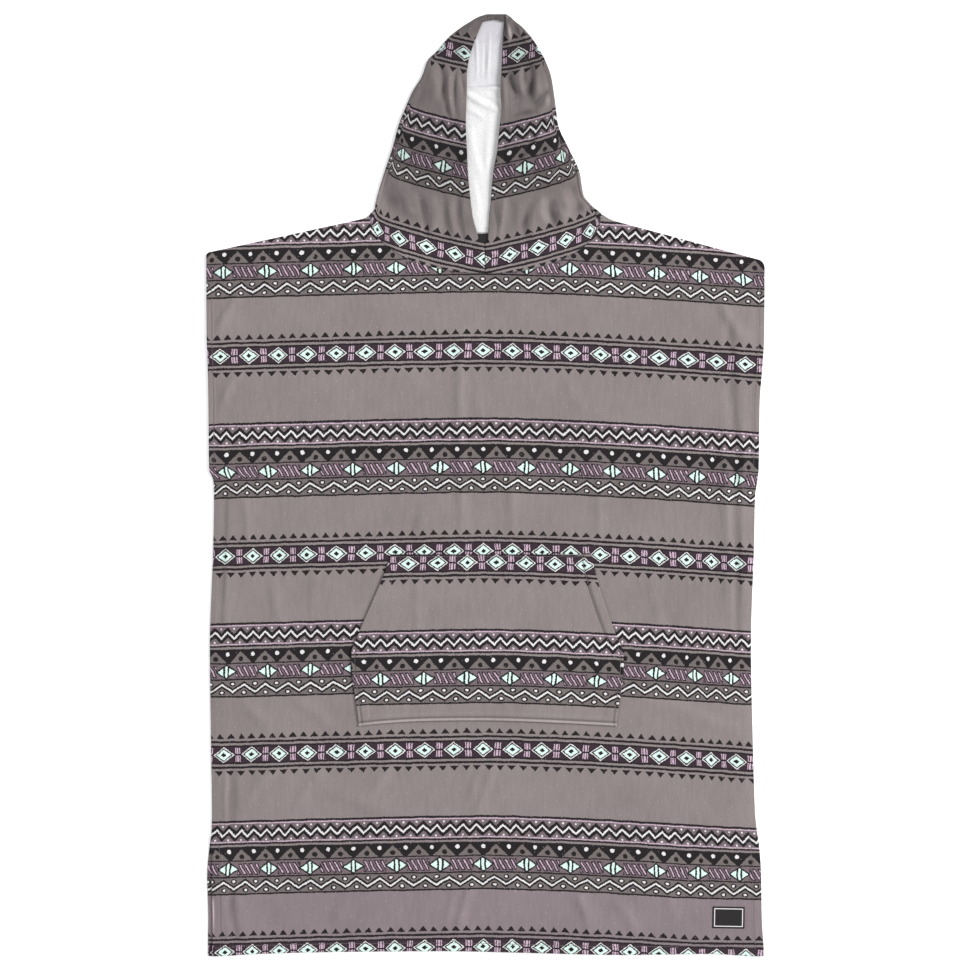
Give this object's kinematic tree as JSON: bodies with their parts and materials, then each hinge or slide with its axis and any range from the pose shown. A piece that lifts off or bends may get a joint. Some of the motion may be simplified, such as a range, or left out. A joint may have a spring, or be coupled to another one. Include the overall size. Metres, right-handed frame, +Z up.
{
  "type": "hooded bath poncho",
  "caption": "Hooded towelling poncho with short open sides, side vents and a kangaroo pocket, laid flat face up.",
  "frame": {"origin": "centre of the garment's bounding box, on the surface it lies on", "axes": "+Y from the hem to the top of the hood, +X to the right as seen from above (the wearer's left), +Z up from the surface; the garment lies on its back with the face opening upwards"},
  "size_m": [0.8, 1.35, 0.0091],
  "materials": {
    "printed_towelling": "matte printed velour face, white terry reverse",
    "label_weave": "tight satin weave"
  },
  "bodies": {
    "root": {"back_panel": "printed_towelling", "front_panel": "printed_towelling", "hood_left": "printed_towelling", "hood_right": "printed_towelling", "pocket": "printed_towelling", "woven_label": "label_weave", "size_label": "label_weave"}
  },
  "joints": []
}
